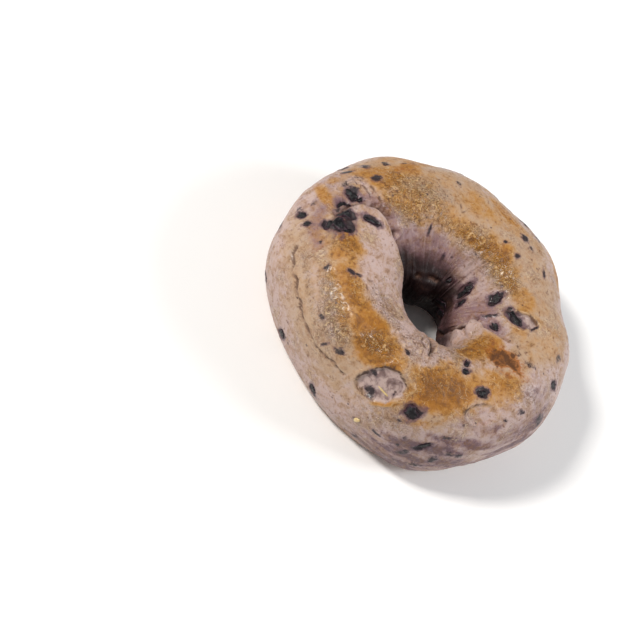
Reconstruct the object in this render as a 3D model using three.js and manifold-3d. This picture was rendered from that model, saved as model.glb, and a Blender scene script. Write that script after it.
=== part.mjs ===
// A berry bagel: a ring of dough, hand-shaped from one rope whose tucked end laps over its own start,
// boiled and baked, with whole berries breaking through the crust.
// Units are millimetres. +Z is up, the flat base lies on Z = 0 and the Z axis stands at the middle of the
// bagel's box. +X is the longer way across, and the tucked end lies at the -X side.

import * as THREE from 'three';
import { mergeVertices } from 'three/addons/utils/BufferGeometryUtils.js';
import Module from 'manifold-3d';

// Driving dimensions
const OUTER_RADIUS = 49.75;     // middle of the hole to the outside of the ring
const CREST_RADIUS = 32.0;      // middle of the hole to the highest line of the ring
const HOLE_RADIUS = 10.95;      // narrowest part of the hole
const HEIGHT = 38.0;            // base to crest
const WAIST_HEIGHT = 17.0;      // height at which the ring is widest
const BASE_PRESS = 4.0;         // how far the round underside is pressed flat against the tray
const BASE_EDGE = 2.0;          // rounding where the flat base turns up

// How full each quarter of the dough's cross-section is: 2 is an ellipse, less is leaner and more is squarer.
const OUTSIDE_FULLNESS = 2.15;
const FUNNEL_FULLNESS = 1.5;    // inside, where the far arm slopes into the hole
const PLUMP_FULLNESS = 1.25;    // what the plump near arm has over that
const UNDERSIDE_FULLNESS = 2.4;

const RING_STEPS = 98;
const DOUGH_STEPS = 40;
const SEAM_CROWDING = 0.3;      // how much closer the steps stand at the tucked end

const DEGREE = Math.PI / 180;

// A size that changes round the ring: a mean, plus waves of [count round the ring, height, where they peak].
const wave = (angle, mean, ...waves) =>
  waves.reduce((sum, [count, height, peak]) => sum + height * Math.cos(count * (angle - peak * DEGREE)), mean);

const outerRadius = a =>
  wave(a, OUTER_RADIUS, [1, 0.45, 125], [2, 2.5, -17], [3, 1.55, -41], [4, 0.2, 10], [5, 0.6, 4], [6, 0.35, 20]);
const crestRadius = a => wave(a, CREST_RADIUS, [1, 2.75, 284], [2, 0.7, -21]);
const holeRadius = a => wave(a, HOLE_RADIUS, [1, 4.85, 290], [2, 0.5, 130], [3, 1.9, 70]);
const crestHeight = a => wave(a, HEIGHT, [1, 0.6, 290], [3, 0.5, 20]);

// A smooth step from 0 at `from` to 1 at `to`, either way round.
function blend(x, from, to) {
  const t = THREE.MathUtils.clamp((x - from) / (to - from), 0, 1);
  return t * t * (3 - 2 * t);
}

// The tucked end of the rope, seen from above: a round tip, then a straight flank along the hole.
const TIP = new THREE.Vector2(-29.3, -11.0);
const TIP_RADIUS = 11.0;
const ROPE_RUN = new THREE.Vector2(0.94, -0.342);
const LAP_SOFTNESS = 0.9;       // how gently the tucked end's edge rounds over

// Distance inside the tucked end's edge, in plan; below 0 outside it.
function insideLap(x, y) {
  const dx = x - TIP.x;
  const dy = y - TIP.y;
  const along = dx * ROPE_RUN.x + dy * ROPE_RUN.y;
  const across = -dx * ROPE_RUN.y + dy * ROPE_RUN.x;
  return along < 0 ? TIP_RADIUS - Math.hypot(dx, dy) : TIP_RADIUS - across;
}

// How plump the inside of the ring is: 1 on the near arm and its tucked end, which bulge over the hole,
// 0 on the far arm, which slopes into it like a funnel.
function plumpness(a, x, y) {
  const lapped = 1 / (1 + Math.exp(-insideLap(x, y) / LAP_SOFTNESS));
  const near = blend(Math.sin(a + 3 * DEGREE), 0.1, -0.06);
  const left = blend(Math.cos(a), 0.2, -0.2);
  return near * (1 - left) + left * lapped;
}

// The dough before any relief. `a` runs round the ring from +X; `b` runs round the dough from the outside,
// over the crest and down into the hole. Each cross-section is a superellipse, pressed flat underneath.
function doughPoint(a, b) {
  const c = Math.cos(b);
  const s = Math.sin(b);
  const outside = outerRadius(a) - crestRadius(a);
  const inside = crestRadius(a) - holeRadius(a);
  const planRadius = crestRadius(a) + c * (c > 0 ? outside : inside);
  const plump = plumpness(a, planRadius * Math.cos(a), planRadius * Math.sin(a));
  const outward = 0.5 + 0.5 * Math.tanh(3 * c);
  const upward = 0.5 + 0.5 * Math.tanh(4 * s);
  const insideFullness = FUNNEL_FULLNESS + PLUMP_FULLNESS * plump;
  const topFullness = OUTSIDE_FULLNESS * outward + insideFullness * (1 - outward);
  const fullness = topFullness * upward + UNDERSIDE_FULLNESS * (1 - upward);
  const reach = (Math.abs(c) ** fullness + Math.abs(s) ** fullness) ** (-1 / fullness);
  const radius = crestRadius(a) + reach * c * (c > 0 ? outside : inside);
  const rise = reach * s;
  let z = WAIST_HEIGHT + rise * (rise > 0 ? crestHeight(a) - WAIST_HEIGHT : WAIST_HEIGHT + BASE_PRESS);
  if (z < BASE_EDGE) z = z < -BASE_EDGE ? 0 : (z + BASE_EDGE) ** 2 / (4 * BASE_EDGE);
  return new THREE.Vector3(radius * Math.cos(a), radius * Math.sin(a), z);
}

// A place on the dough with its outward normal and the directions along the ring and up round the dough.
function place(a, b) {
  const step = 0.004;
  const along = doughPoint(a + step, b).sub(doughPoint(a - step, b)).normalize();
  const around = doughPoint(a, b + step).sub(doughPoint(a, b - step)).normalize();
  const normal = along.clone().cross(around).normalize();
  around.crossVectors(normal, along);
  return { point: doughPoint(a, b), along, around, normal };
}

// Marks on the crust. Each stands at an angle round the ring and an angle round the dough, in degrees, with
// half its length and half its width, and a turn of its long axis from the ring's own direction.
const spot = ([ring, dough, halfLength, halfWidth, turn, size]) => {
  const here = place(ring * DEGREE, dough * DEGREE);
  const c = Math.cos(turn * DEGREE);
  const s = Math.sin(turn * DEGREE);
  const long = here.along.clone().multiplyScalar(c).addScaledVector(here.around, s);
  const wide = here.around.clone().multiplyScalar(c).addScaledVector(here.along, -s);
  return { ...here, long, wide, halfLength, halfWidth, size };
};

// Burst blisters: a shallow floor inside a raised lip. The last number is the depth.
const BLISTERS = [
  [280, 44, 8.5, 6.0, 50, 1.5],
  [323, 58, 5.4, 3.6, 0, 0.7],
  [20, 104, 5.0, 2.8, 75, 1.2],
  [120, 20, 6.0, 4.5, 15, 1.0],
].map(spot);

// Whole berries that break the crust. The last number is how far each stands proud.
const BERRIES = [
  [202, 69, 3.8, 2.8, -75, 0.8],
  [196, 72, 3.0, 2.2, 83, 0.5],
  [182, 66, 2.4, 1.7, -86, 0.6],
  [189, 65, 2.2, 1.2, -68, 0.5],
  [191, 94, 2.6, 1.3, -76, 0.5],
  [199, 34, 1.7, 1.4, 62, 0.4],
  [203, 41, 1.5, 1.3, 0, 0.4],
  [229, 86, 1.7, 1.2, 38, 0.4],
  [166, 65, 2.0, 1.6, -50, 0.4],
  [259, 33, 1.7, 1.2, 41, 0.4],
  [295, 43, 2.5, 2.3, 34, 0.9],
  [306, 16, 2.6, 1.4, 48, 0.4],
  [63, 154, 3.5, 1.5, -83, 0.7],
  [47, 162, 2.1, 1.1, -70, 0.4],
  [40, 127, 2.8, 1.7, -57, 0.6],
  [21, 110, 2.9, 1.5, 45, 0.5],
  [9, 126, 2.0, 1.4, 61, 0.5],
  [318, 104, 2.6, 1.4, 84, 0.5],
  [324, 79, 2.1, 1.9, 0, 0.7],
  [4, 46, 2.6, 1.9, -60, 0.4],
  [353, 30, 2.2, 1.6, 39, 0.4],
  [70, 183, 2.3, 1.8, 20, 0.6],
  [59, 192, 2.8, 1.6, 59, 0.5],
];

// The sides that face away carry berries too, strung round the back and the near wall of the hole.
const BACK_BERRIES = 16;
for (let i = 0; i < BACK_BERRIES; i++) {
  const ring = 25 + 150 * ((i * 0.618034) % 1);
  const dough = -35 + 90 * ((i * 0.754878) % 1);
  const half = 1.5 + 1.3 * ((i * 0.381966) % 1);
  BERRIES.push([ring, dough, half, half * 0.8, 47 * i, 0.6]);
}
for (const [ring, dough] of [[232, 172], [258, 190], [301, 178], [214, -22], [236, -30], [275, -26], [332, -24]]) {
  BERRIES.push([ring, dough, 2.0, 1.5, ring, 0.5]);
}

// Where a point lies against a spot, in half-sizes: 0 in the middle and 1 on the edge.
function reachFrom(point, mark) {
  const offset = point.clone().sub(mark.point);
  if (offset.length() > 3 * mark.halfLength) return Infinity;
  return Math.hypot(offset.dot(mark.long) / mark.halfLength, offset.dot(mark.wide) / mark.halfWidth);
}

const blisterRelief = (point, mark) => {
  const r = reachFrom(point, mark);
  const floor = -mark.size * (1 - blend(r, 0.55, 1.0));
  const lip = 0.45 * mark.size * Math.exp(-(((r - 1.12) / 0.16) ** 2));
  return floor + lip;
};

// The seam of the tucked end: its side swells, the side it lies on dips, and a furrow runs between.
const FURROW_DEPTH = 1.8;
const FURROW_HALF_WIDTH = 1.5;
const SEAM_STEP = 1.4;
const SEAM_REACH = 10;
function seamRelief(a, b, point) {
  const left = blend(Math.cos(a), -0.55, -0.85);
  const over = blend(Math.sin(b), 0.25, 0.7);
  const d = insideLap(point.x, point.y);
  const furrow = -FURROW_DEPTH * Math.exp(-((d / FURROW_HALF_WIDTH) ** 2));
  const step = SEAM_STEP * Math.tanh(d / 1.2) * Math.exp(-Math.abs(d) / SEAM_REACH);
  return left * over * (furrow + step);
}

// The skin crease that runs along the near side, below the crest, and the short crack under the hole. The
// crease's height round the dough, and both lines' half widths, are in degrees.
const CREASE_DEPTH = 0.8;
const CREASE_HALF_WIDTH = 3.2;
const CRACK_RING = 293;
const CRACK_HALF_WIDTH = 2.6;
const CRACK_DEPTH = 1.0;
const creaseHeight = ring => 34 - 18 * blend(ring, 213, 248) + 5 * blend(ring, 254, 268);
function creaseRelief(a, b) {
  const ring = THREE.MathUtils.euclideanModulo(a / DEGREE, 360);
  const dough = THREE.MathUtils.euclideanModulo(b / DEGREE + 90, 360) - 90;
  const ends = blend(ring, 206, 212) * blend(ring, 274, 268);
  const side = Math.exp(-(((dough - creaseHeight(ring)) / CREASE_HALF_WIDTH) ** 2));
  const crack = Math.exp(-(((ring - CRACK_RING) / CRACK_HALF_WIDTH) ** 2));
  const crackEnds = blend(dough, 98, 108) * blend(dough, 140, 124);
  return -CREASE_DEPTH * ends * side - CRACK_DEPTH * crack * crackEnds;
}

// Slow swells of a hand-shaped dough, as sines of slanting distances.
const swell = p =>
  0.42 * Math.sin(p.x / 5.1 + p.z / 7.3 + 1.0) +
  0.38 * Math.sin(p.y / 4.6 - p.x / 8.9 + 2.2) +
  0.30 * Math.sin((p.x + p.y) / 6.4 - p.z / 4.9 + 4.1);

function crustPoint(a, b) {
  const { point, normal } = place(a, b);
  const relief = BLISTERS.reduce((sum, mark) => sum + blisterRelief(point, mark), 0)
    + seamRelief(a, b, point) + creaseRelief(a, b) + swell(point);
  const offBase = blend(point.z, 0.2, 5);
  point.addScaledVector(normal, relief * offBase);
  point.z = Math.max(point.z, 0);
  return point;
}

// The ring as one closed grid of triangles. The steps crowd together at the tucked end.
function crustGeometry() {
  const positions = [];
  for (let i = 0; i < RING_STEPS; i++) {
    const even = (i / RING_STEPS) * 2 * Math.PI;
    const a = even + SEAM_CROWDING * Math.sin(even);
    for (let j = 0; j < DOUGH_STEPS; j++) {
      const b = ((j + 0.5) / DOUGH_STEPS) * 2 * Math.PI;
      positions.push(...crustPoint(a, b).toArray());
    }
  }
  const index = [];
  const at = (i, j) => (i % RING_STEPS) * DOUGH_STEPS + (j % DOUGH_STEPS);
  for (let i = 0; i < RING_STEPS; i++) {
    for (let j = 0; j < DOUGH_STEPS; j++) {
      index.push(at(i, j), at(i + 1, j), at(i + 1, j + 1));
      index.push(at(i, j), at(i + 1, j + 1), at(i, j + 1));
    }
  }
  const geometry = new THREE.BufferGeometry();
  geometry.setAttribute('position', new THREE.Float32BufferAttribute(positions, 3));
  geometry.setIndex(index);
  return geometry;
}

// A berry: a small lumpy ball, sunk until only its proud cap shows.
const BERRY_DEPTH = 1.6;
function berryGeometry(mark) {
  const geometry = new THREE.IcosahedronGeometry(1, 1);
  const lump = mark.long.clone().multiplyScalar(mark.halfLength);
  const wide = mark.wide.clone().multiplyScalar(mark.halfWidth);
  const deep = mark.normal.clone().multiplyScalar(BERRY_DEPTH);
  const centre = mark.point.clone().addScaledVector(mark.normal, mark.size - BERRY_DEPTH + swell(mark.point));
  geometry.applyMatrix4(new THREE.Matrix4().makeBasis(lump, wide, deep).setPosition(centre));
  return geometry;
}

const wasm = await Module();
wasm.setup();

function toSolid(geometry) {
  geometry.deleteAttribute('normal');
  geometry.deleteAttribute('uv');
  const merged = mergeVertices(geometry, 1e-4);
  return new wasm.Manifold(new wasm.Mesh({
    numProp: 3,
    vertProperties: merged.attributes.position.array,
    triVerts: new Uint32Array(merged.index.array),
  }));
}

function toGeometry(solid) {
  const { vertProperties, triVerts } = solid.getMesh();
  const geometry = new THREE.BufferGeometry();
  geometry.setAttribute('position', new THREE.BufferAttribute(vertProperties, 3));
  geometry.setIndex(new THREE.BufferAttribute(triVerts, 1));
  return geometry;
}

let bagel = toSolid(crustGeometry());
for (const berry of BERRIES.map(spot)) bagel = bagel.add(toSolid(berryGeometry(berry)));
const [whole] = bagel.decompose().sort((p, q) => q.volume() - p.volume());

const bagelGeometry = toGeometry(whole);
bagelGeometry.computeBoundingBox();
const middle = bagelGeometry.boundingBox.getCenter(new THREE.Vector3());
bagelGeometry.translate(-middle.x, -middle.y, -bagelGeometry.boundingBox.min.z);
bagelGeometry.computeVertexNormals();

const crust = new THREE.MeshStandardMaterial({ color: '#b98f62', roughness: 0.45, metalness: 0 });
const bagelMesh = new THREE.Mesh(bagelGeometry, crust);
bagelMesh.name = 'bagel';

const group = new THREE.Group();
group.add(bagelMesh);

export default group;
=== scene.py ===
# %% [markdown]
# # A berry bagel
#
# A bagel is a rope of yeast dough closed into a ring, its tucked end lapped over its own start. It is boiled
# for a minute and then baked. Boiling sets a tight, shiny skin, and the oven browns that skin along the top,
# where it wrinkles and blisters, and leaves the sides pale. This dough is full of berries. Their juice stains
# it mauve, and the berries that reach the skin show as crumpled, nearly black lumps.
#
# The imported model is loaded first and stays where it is. Every piece made here is laid over it, at the same
# place and size. Shapes are worked out in millimetres and turned to metres when a mesh is written.

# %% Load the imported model
import math

import bpy
import numpy as np
from mathutils import Matrix, Vector


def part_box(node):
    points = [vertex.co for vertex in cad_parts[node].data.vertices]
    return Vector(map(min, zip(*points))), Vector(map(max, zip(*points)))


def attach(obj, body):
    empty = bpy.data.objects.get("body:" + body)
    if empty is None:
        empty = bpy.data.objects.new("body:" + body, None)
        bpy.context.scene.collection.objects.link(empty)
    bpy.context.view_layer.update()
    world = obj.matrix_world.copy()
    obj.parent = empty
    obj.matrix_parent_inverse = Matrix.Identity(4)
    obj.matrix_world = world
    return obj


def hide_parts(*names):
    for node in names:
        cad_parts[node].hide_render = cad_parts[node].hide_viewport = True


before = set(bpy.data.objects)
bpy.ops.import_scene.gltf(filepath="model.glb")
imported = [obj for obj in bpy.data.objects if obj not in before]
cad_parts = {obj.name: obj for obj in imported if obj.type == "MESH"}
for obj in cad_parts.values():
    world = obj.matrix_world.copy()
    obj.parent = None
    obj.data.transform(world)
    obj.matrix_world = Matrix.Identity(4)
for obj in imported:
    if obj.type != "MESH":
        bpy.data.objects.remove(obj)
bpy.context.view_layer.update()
MM = 0.001
solid_low, solid_high = (np.array(corner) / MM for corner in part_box("bagel"))
print("the solid measures", np.round(solid_high - solid_low, 1), "mm")

# %% [markdown]
# ## The camera
#
# The photograph looks down on the top of the ring at about 52 degrees. The bagel leans there and lies flat
# here, so the camera is rolled by 45 degrees instead. It stands 600 mm away, where the far side of the ring
# looks as much smaller as it does in the photograph. The bagel is right of the middle of the picture, so the
# camera is swung a little to the left, and needs no lens shift.

# %% Camera
PHOTO_SIZE = 622
PIXELS_PER_MM = 3.15
BAGEL_PIXEL = (421.4, 308.8)
BAGEL_MIDDLE = Vector((-0.02, -1.73, 17.0)) * MM
CAMERA_DISTANCE_MM = 600
LOOK_DOWN = math.radians(52)
ROLL = math.radians(45)
SENSOR_MM = 36

focal_pixels = PIXELS_PER_MM * CAMERA_DISTANCE_MM
look = Vector((0, math.cos(LOOK_DOWN), -math.sin(LOOK_DOWN)))
level_right = Vector((1, 0, 0))
level_up = level_right.cross(look)
picture_right = level_right * math.cos(ROLL) + level_up * math.sin(ROLL)
picture_up = level_up * math.cos(ROLL) - level_right * math.sin(ROLL)
straight_on = Matrix((picture_right, picture_up, -look)).transposed()

pixels_right = BAGEL_PIXEL[0] - PHOTO_SIZE / 2
pixels_up = PHOTO_SIZE / 2 - BAGEL_PIXEL[1]
towards_bagel = Vector((pixels_right, pixels_up, -focal_pixels))
swing = towards_bagel.rotation_difference(Vector((0, 0, -1))).to_matrix()

camera_lens = bpy.data.cameras.new("camera")
camera_lens.sensor_width = SENSOR_MM
camera_lens.lens = focal_pixels * SENSOR_MM / PHOTO_SIZE
camera = bpy.data.objects.new("camera", camera_lens)
camera_place = BAGEL_MIDDLE - look * CAMERA_DISTANCE_MM * MM
camera.matrix_world = Matrix.Translation(camera_place) @ (straight_on @ swing).to_4x4()
bpy.context.scene.collection.objects.link(camera)
bpy.context.scene.camera = camera
print("lens", round(camera_lens.lens, 1), "mm")

# %% [markdown]
# ## Smooth steps, waves and random fields
#
# A hand-shaped loaf has no straight line and no sharp change, so nearly everything below is made of three
# things: a smooth step, a wave round the ring, and a random field. The field is a lattice of random numbers
# in space, blended between its corners. It is read at points of the surface, so it has no seam anywhere.

# %% Helpers for arrays
LATTICE = 32
LATTICE_TURN = np.array(Matrix.Rotation(0.9, 3, Vector((0.5, 0.7, 0.4)).normalized()))


def blend(x, start, end):
    """Smooth step from 0 at start to 1 at end: three times t squared less twice t cubed."""
    t = np.clip((x - start) / (end - start), 0, 1)
    return t * t * (3 - 2 * t)


def bell(x, width):
    """A bell curve of height 1: e to the power of minus x over width, squared."""
    return np.exp(-((x / width) ** 2))


def unit(vectors):
    """Vectors divided by their own lengths."""
    return vectors / np.linalg.norm(vectors, axis=-1, keepdims=True)


def wave(angle, mean, *waves):
    """A mean plus, for each wave, its height times the cosine of its count times the angle past its peak."""
    return mean + sum(height * np.cos(count * (angle - math.radians(peak))) for count, height, peak in waves)


def soft_noise(points, cell, seed):
    """Random field from 0 to 1: lattice values `cell` mm apart, each corner weighed by how near it is."""
    values = np.random.default_rng(seed).random((LATTICE, LATTICE, LATTICE))
    scaled = points @ LATTICE_TURN / cell
    base = np.floor(scaled).astype(int)
    t = scaled - base
    t = t * t * (3 - 2 * t)
    total = np.zeros(points.shape[:-1])
    for corner in np.ndindex(2, 2, 2):
        share = np.prod(np.where(corner, t, 1 - t), axis=-1)
        i, j, k = np.moveaxis((base + corner) % LATTICE, -1, 0)
        total += share * values[i, j, k]
    return total


def layered_noise(points, cell, seed, layers=3):
    """Fields at cell, half of it and so on, each half as strong as the last, added and kept from 0 to 1."""
    shares = 0.5 ** np.arange(layers)
    total = sum(share * soft_noise(points, cell * share, seed + i) for i, share in enumerate(shares))
    return total / shares.sum()


def noise_shift(points, cell, seed, reach):
    """Points moved up to half of `reach` mm each way by three fields, so that straight lines wander."""
    return points + reach * (np.stack([soft_noise(points, cell, seed + i) for i in range(3)], -1) - 0.5)


def veins(points, cell, seed, sharpness):
    """Thin winding crests from 0 to 1: one less twice the field's distance from its middle, to a power."""
    return (1 - np.abs(2 * soft_noise(points, cell, seed) - 1)) ** sharpness


# %% [markdown]
# ## The shape of the dough
#
# The ring is a surface of two angles: one round the ring, and one round the dough from the outside, over the
# crest and down into the hole. A torus would be the quick way, but a real bagel is wider outside its crest
# than inside, bulges fuller on the near arm and slopes like a funnel on the far one, and is pressed flat
# underneath. So each cross-section is a superellipse, whose fullness changes round the ring. The numbers are
# the same driving dimensions that the solid was made from.

# %% Dough surface
OUTER_RADIUS = 49.75
CREST_RADIUS = 32.0
HOLE_RADIUS = 10.95
HEIGHT = 38.0
WAIST_HEIGHT = 17.0
BASE_PRESS = 4.0
BASE_EDGE = 2.0
OUTSIDE_FULLNESS, FUNNEL_FULLNESS, PLUMP_FULLNESS, UNDERSIDE_FULLNESS = 2.15, 1.5, 1.25, 2.4
TIP = np.array([-29.3, -11.0])
TIP_RADIUS = 11.0
LAP_SOFTNESS = 0.9
ROPE_RUN = np.array([0.94, -0.342])


def outer_radius(a):
    """Middle of the hole to the outside of the ring."""
    return wave(a, OUTER_RADIUS, (1, 0.45, 125), (2, 2.5, -17), (3, 1.55, -41), (4, 0.2, 10), (5, 0.6, 4),
                (6, 0.35, 20))


def crest_radius(a):
    """Middle of the hole to the highest line."""
    return wave(a, CREST_RADIUS, (1, 2.75, 284), (2, 0.7, -21))


def hole_radius(a):
    """Narrowest part of the hole."""
    return wave(a, HOLE_RADIUS, (1, 4.85, 290), (2, 0.5, 130), (3, 1.9, 70))


def crest_height(a):
    """Base to crest."""
    return wave(a, HEIGHT, (1, 0.6, 290), (3, 0.5, 20))


def inside_lap(x, y):
    """Distance inside the tucked end, seen from above: a round tip, then a straight flank along the hole."""
    offset = np.stack([x, y], -1) - TIP
    along = offset @ ROPE_RUN
    across = offset @ np.array([-ROPE_RUN[1], ROPE_RUN[0]])
    return TIP_RADIUS - np.where(along < 0, np.linalg.norm(offset, axis=-1), across)


def plumpness(a, x, y):
    """1 on the near arm and its tucked end, 0 on the far arm, with a soft step at the lap and at the fold."""
    lapped = 1 / (1 + np.exp(-inside_lap(x, y) / LAP_SOFTNESS))
    near = blend(np.sin(a + math.radians(3)), 0.1, -0.06)
    left = blend(np.cos(a), 0.2, -0.2)
    return near * (1 - left) + left * lapped


def dough_surface(a, b):
    """The ring without relief. Seen across, c to a power plus s to that power is 1, where c and s are the
    cosine and sine of b scaled by one reach, and the part below the base is pressed to a rounded edge."""
    c, s = np.cos(b), np.sin(b)
    side = np.where(c > 0, outer_radius(a) - crest_radius(a), crest_radius(a) - hole_radius(a))
    plan = crest_radius(a) + c * side
    plump = plumpness(a, plan * np.cos(a), plan * np.sin(a))
    outward = 0.5 + 0.5 * np.tanh(3 * c)
    upward = 0.5 + 0.5 * np.tanh(4 * s)
    top_fullness = OUTSIDE_FULLNESS * outward + (FUNNEL_FULLNESS + PLUMP_FULLNESS * plump) * (1 - outward)
    fullness = top_fullness * upward + UNDERSIDE_FULLNESS * (1 - upward)
    reach = (np.abs(c) ** fullness + np.abs(s) ** fullness) ** (-1 / fullness)
    radius = crest_radius(a) + reach * c * side
    rise = reach * s
    z = WAIST_HEIGHT + rise * np.where(rise > 0, crest_height(a) - WAIST_HEIGHT, WAIST_HEIGHT + BASE_PRESS)
    pressed = np.clip(z + BASE_EDGE, 0, None) ** 2 / (4 * BASE_EDGE)
    z = np.where(z < BASE_EDGE, pressed, z)
    return np.stack([radius * np.cos(a), radius * np.sin(a), z], -1)


SMALL_ANGLE = 0.004


def directions(a, b):
    """Unit vectors along the ring, round the dough and out of it, from the surface a step either way."""
    along = unit(dough_surface(a + SMALL_ANGLE, b) - dough_surface(a - SMALL_ANGLE, b))
    around = unit(dough_surface(a, b + SMALL_ANGLE) - dough_surface(a, b - SMALL_ANGLE))
    out = unit(np.cross(along, around))
    return along, np.cross(out, along), out


all_round = np.radians(np.arange(0, 360, 5))
for what, radius in [("outside", outer_radius), ("crest", crest_radius), ("hole", hole_radius)]:
    print(what, "from", round(radius(all_round).min(), 1), "to", round(radius(all_round).max(), 1), "mm")


# %% [markdown]
# ## Marks on the crust
#
# Berries, blisters, golden patches and stains are all the same kind of thing: an oval at a place on the
# dough, with a length, a width and a turn. One function finds the oval's own directions on the surface, and
# another says how far any point lies from it, counted in its half sizes. Creases are lines through a few
# places on the dough, and a third function gives the distance to the line.

# %% Ovals and lines on the dough
MARK_DEPTH = 6.0
PATCH_DEPTH = 14.0
PATCH_CORE = 0.30
PATCH_EDGE = 1.55


def oval(ring, dough, half_length, half_width, turn=0, size=1.0):
    """An oval at two angles in degrees. Its length is turned from the ring's direction, round the dough."""
    a, b = math.radians(ring), math.radians(dough)
    along, around, out = directions(a, b)
    c, s = math.cos(math.radians(turn)), math.sin(math.radians(turn))
    return {
        "a": a, "b": b, "middle": dough_surface(a, b), "out": out, "size": size, "turn": math.radians(turn),
        "length": along * c + around * s, "width": around * c - along * s, "upper": around - along,
        "half_length": half_length, "half_width": half_width,
    }


def reach_from(points, spot, depth=MARK_DEPTH):
    """Distance from an oval's middle in half sizes, the root of three squares; `depth` mm inward is 1."""
    offset = points - spot["middle"]
    lengthwise = offset @ spot["length"] / spot["half_length"]
    widthwise = offset @ spot["width"] / spot["half_width"]
    inward = offset @ spot["out"] / depth
    return np.sqrt(lengthwise ** 2 + widthwise ** 2 + inward ** 2)


def distance_to_line(points, places):
    """Least distance in mm to the straight pieces between places given as (ring, dough) in degrees."""
    corners = dough_surface(*np.radians(np.array(places, float)).T)
    nearest = np.full(points.shape[:-1], np.inf)
    for start, end in zip(corners[:-1], corners[1:]):
        run = end - start
        t = np.clip((points - start) @ run / (run @ run), 0, 1)
        nearest = np.minimum(nearest, np.linalg.norm(points - start - t[..., None] * run, axis=-1))
    return nearest


def share_of(points, spots, raggedness, seed, cell=5.0):
    """How much of a kind of patch lies at each point: 1 inside an oval, 0 outside, with ragged edges."""
    total = np.zeros(points.shape[:-1])
    ragged = raggedness * (layered_noise(points, cell, seed, 4) - 0.5)
    for spot in spots:
        reach = reach_from(points, spot, PATCH_DEPTH) + ragged
        total = np.maximum(total, spot["size"] * (1 - blend(reach, PATCH_CORE, PATCH_EDGE)))
    return total


# %% [markdown]
# ## Where the berries, blisters, patches and creases are
#
# The marks that the photograph shows are set one by one, because they are what makes this bagel this one.
# Each row is ring and dough angle, half length, half width, turn and a last number: the depth of a blister,
# which is below 0 for a knob, how far a berry stands proud, how dark a berry under the skin shows through, or
# how strong a patch is. Patches are golden, wrinkled, scorched, or tinted where juice has coloured the skin.
# A crease is its depth, its half width and the places that it passes. The sides that the photograph doesn't
# show get berries, sunken berries and golden patches from a seeded rule.

# %% Berries and blisters that the photograph shows
BLISTERS = [oval(*row) for row in [
    (280, 44, 8.5, 6.0, 50, 1.2),
    (323, 58, 5.4, 3.5, 0, 0.55),
    (20, 104, 5.0, 2.6, 75, 1.0),
    (120, 20, 6.0, 4.5, 15, 0.9),
    (339, 156, 3.2, 2.6, 20, -1.0),
    (357, 140, 3.4, 2.3, 0, -0.9),
]]

BERRIES = [oval(*row) for row in [
    (203, 69, 3.9, 3.1, 86, 0.8),
    (196, 72, 2.9, 1.9, 79, 0.4),
    (205, 79, 1.9, 1.3, 55, 0.3),
    (182, 65, 2.5, 1.8, -84, 0.6),
    (182, 72, 2.0, 0.9, -50, 0.4),
    (189, 65, 2.5, 1.7, 79, 0.4),
    (191, 94, 2.6, 1.1, -76, 0.35),
    (199, 34, 1.7, 1.4, 64, 0.35),
    (203, 41, 1.3, 1.0, -66, 0.25),
    (295, 43, 2.6, 2.4, 34, 0.8),
    (63, 154, 3.5, 1.5, -83, 0.5),
    (47, 162, 2.1, 0.9, -70, 0.35),
    (40, 127, 2.8, 1.6, -57, 0.5),
    (21, 110, 2.9, 1.4, 45, 0.4),
    (9, 126, 1.8, 1.2, 61, 0.4),
    (324, 79, 1.7, 1.4, 0, 0.45),
    (317, 102, 1.5, 1.0, 4, 0.35),
    (319, 111, 1.4, 0.9, 54, 0.25),
    (4, 46, 1.8, 1.2, -60, 0.15),
    (306, 16, 2.6, 1.2, 48, 0.25),
    (90, 158, 1.2, 0.8, 87, 0.4),
    (70, 185, 2.3, 1.6, 20, 0.4),
    (59, 195, 3.1, 1.6, 59, 0.4),
]]

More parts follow.
